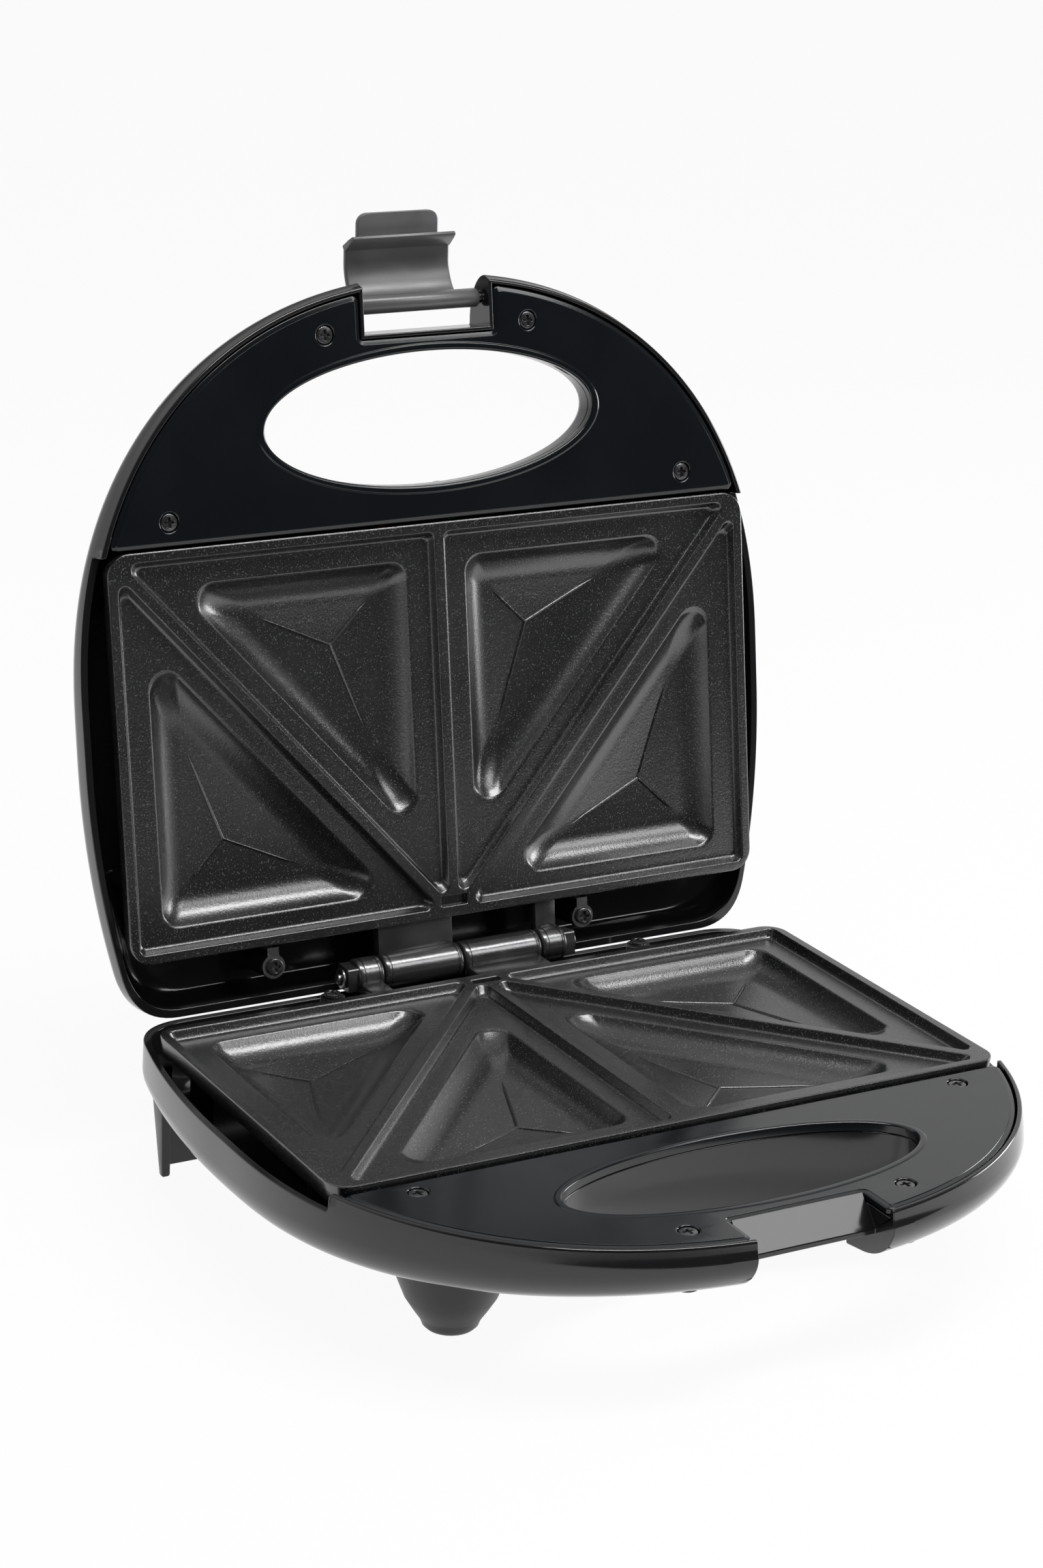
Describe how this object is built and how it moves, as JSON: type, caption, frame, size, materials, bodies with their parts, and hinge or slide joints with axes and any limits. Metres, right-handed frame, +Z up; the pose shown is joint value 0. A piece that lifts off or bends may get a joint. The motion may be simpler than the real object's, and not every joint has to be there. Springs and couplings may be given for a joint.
{
  "type": "sandwich maker",
  "caption": "Two-slice sandwich maker standing open: hinged glossy housings with D-shaped handles, coated grill plates with triangular pockets, and a swinging latch.",
  "frame": {"origin": "centre of the bounding box seen from above, on the surface the part stands on", "axes": "+Z up, +Y from the handle towards the hinge, +X along the hinge axis towards the left of someone who stands behind the hinge and looks over it, which is the right of someone who faces the handle"},
  "size_m": [0.235, 0.2632, 0.2766],
  "materials": {
    "black_screw": "black oxide",
    "ceramic": "glazed ceramic",
    "element_steel": "dull annealed tube",
    "gloss_black": "gloss moulded",
    "green_lens": "clear green moulded",
    "lamp_glass": "clear glass",
    "latch_grey": "satin moulded",
    "matte_black": "fine matt moulded",
    "nonstick_grey": "charcoal non-stick coating on die-cast aluminium",
    "red_lens": "clear red moulded",
    "satin_black": "satin moulded",
    "steel_sheet": "bright sheet",
    "zinc": "zinc plated"
  },
  "bodies": {
    "base": {"base_shell": "gloss_black", "base_handle_cover": "satin_black", "base_cover_screw_1": "black_screw", "base_cover_screw_2": "black_screw", "base_cover_screw_3": "black_screw", "base_cover_screw_4": "black_screw", "front_foot_left": "matte_black", "front_foot_right": "matte_black", "hinge_pin": "zinc", "hinge_pin_clip": "zinc", "lead_bush": "matte_black", "lower_plate": "nonstick_grey", "lower_element": "element_steel", "lower_element_clamp_rear": "steel_sheet", "lower_element_clamp_front": "steel_sheet", "lower_reflector": "steel_sheet", "lower_reflector_screw_1": "black_screw", "lower_reflector_screw_2": "black_screw", "terminal_block": "ceramic", "thermal_fuse": "ceramic", "thermostat": "ceramic"},
    "lid": {"lid_shell": "gloss_black", "lid_handle_cover": "satin_black", "lid_cover_screw_1": "black_screw", "lid_cover_screw_2": "black_screw", "lid_cover_screw_3": "black_screw", "lid_cover_screw_4": "black_screw", "upper_plate": "nonstick_grey", "upper_element": "element_steel", "upper_element_clamp_rear": "steel_sheet", "upper_element_clamp_front": "steel_sheet", "upper_reflector": "steel_sheet", "upper_reflector_screw_1": "black_screw", "upper_reflector_screw_2": "black_screw", "power_lens": "red_lens", "ready_lens": "green_lens", "power_lamp": "lamp_glass", "ready_lamp": "lamp_glass", "latch_pin": "zinc"},
    "latch": {"latch": "latch_grey"}
  },
  "joints": [
    {"name": "lid_hinge", "type": "hinge", "parent": "base", "child": "lid", "pos_m": [0, 0.07979, 0.05], "axis": [1, 0, 0], "range_deg": [0, 97.9]},
    {"name": "latch_pivot", "type": "hinge", "parent": "lid", "child": "latch", "pos_m": [0, 0.11563, 0.25151], "axis": [1, 0, 0], "range_deg": [0, 122]}
  ]
}
